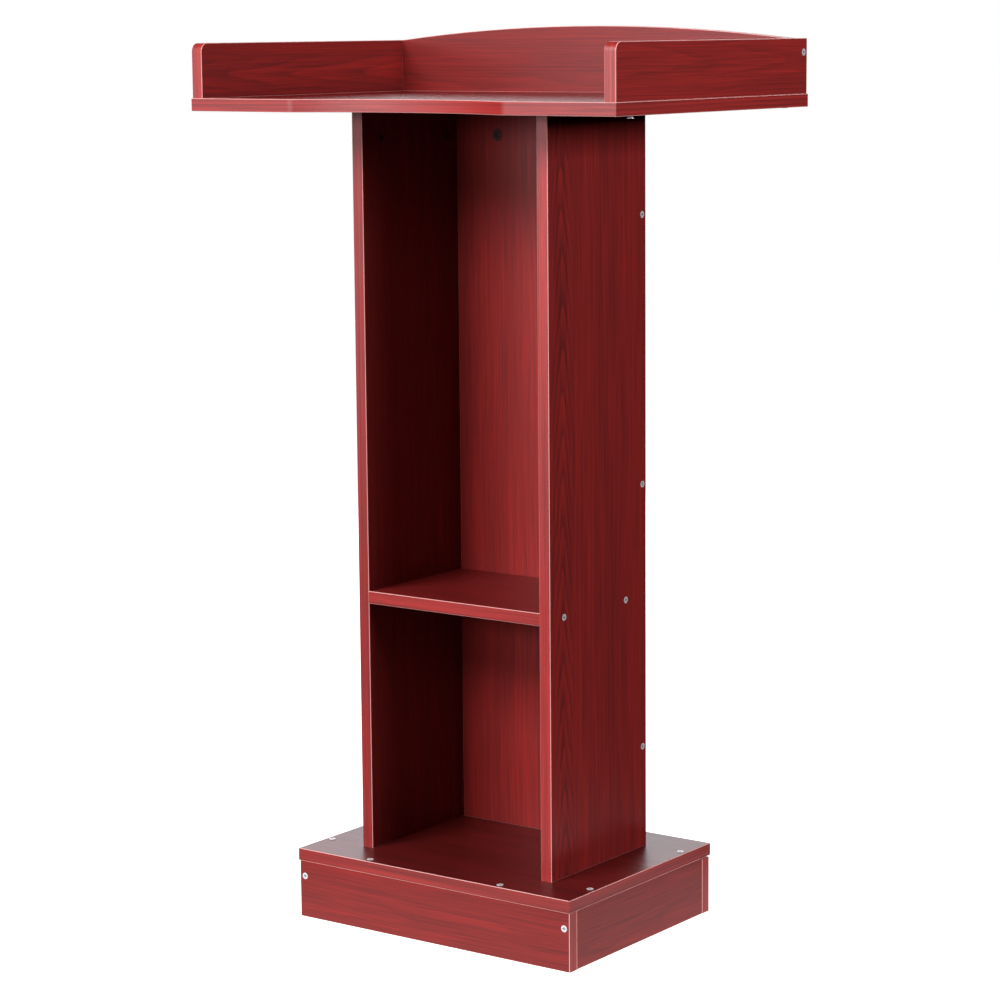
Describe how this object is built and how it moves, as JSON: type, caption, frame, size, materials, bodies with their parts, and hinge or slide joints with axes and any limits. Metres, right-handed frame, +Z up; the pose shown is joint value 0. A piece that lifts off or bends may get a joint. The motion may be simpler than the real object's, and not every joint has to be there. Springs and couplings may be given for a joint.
{
  "type": "lectern",
  "caption": "Floor-standing lectern of dark red wood-look board: a low plinth, an open-fronted column with a shelf, and a wide desk with a raised rim and a bowed front edge.",
  "frame": {"origin": "on the floor, at the middle of the footprint", "axes": "+Z up; -Y is the open side where the speaker stands, +Y faces the audience; +X is the speaker's right"},
  "size_m": [0.6, 0.4, 1.0679],
  "materials": {
    "laminate": "semi-gloss wood-grain laminate",
    "edge_band": "semi-gloss wood-grain edge band",
    "zinc": "bright zinc plate",
    "cam_metal": "dark die-cast metal",
    "beech": "bare wood"
  },
  "bodies": {
    "root": {"base_top_board": "laminate", "plinth_front_board": "laminate", "plinth_back_board": "laminate", "plinth_left_board": "laminate", "plinth_right_board": "laminate", "column_left_panel": "laminate", "column_right_panel": "laminate", "column_back_panel": "laminate", "shelf_board": "laminate", "desk_board": "laminate", "rim_left_panel": "laminate", "rim_right_panel": "laminate", "rim_back_panel": "laminate", "base_top_edge_bands": "edge_band", "plinth_front_edge_bands": "edge_band", "plinth_back_edge_bands": "edge_band", "column_left_edge_bands": "edge_band", "column_right_edge_bands": "edge_band", "shelf_edge_band": "edge_band", "desk_edge_bands": "edge_band", "rim_left_edge_bands": "edge_band", "rim_right_edge_bands": "edge_band", "rim_back_edge_band": "edge_band", "plinth_corner_screws": "zinc", "base_top_screws": "zinc", "column_base_screws": "zinc", "column_back_screws": "zinc", "shelf_screws": "zinc", "rim_side_screws": "zinc", "rim_back_screws": "zinc", "rim_end_screws": "zinc", "plinth_corner_dowels": "beech", "column_top_dowels": "beech", "cam_locks": "cam_metal", "cam_bolts": "zinc"}
  },
  "joints": []
}
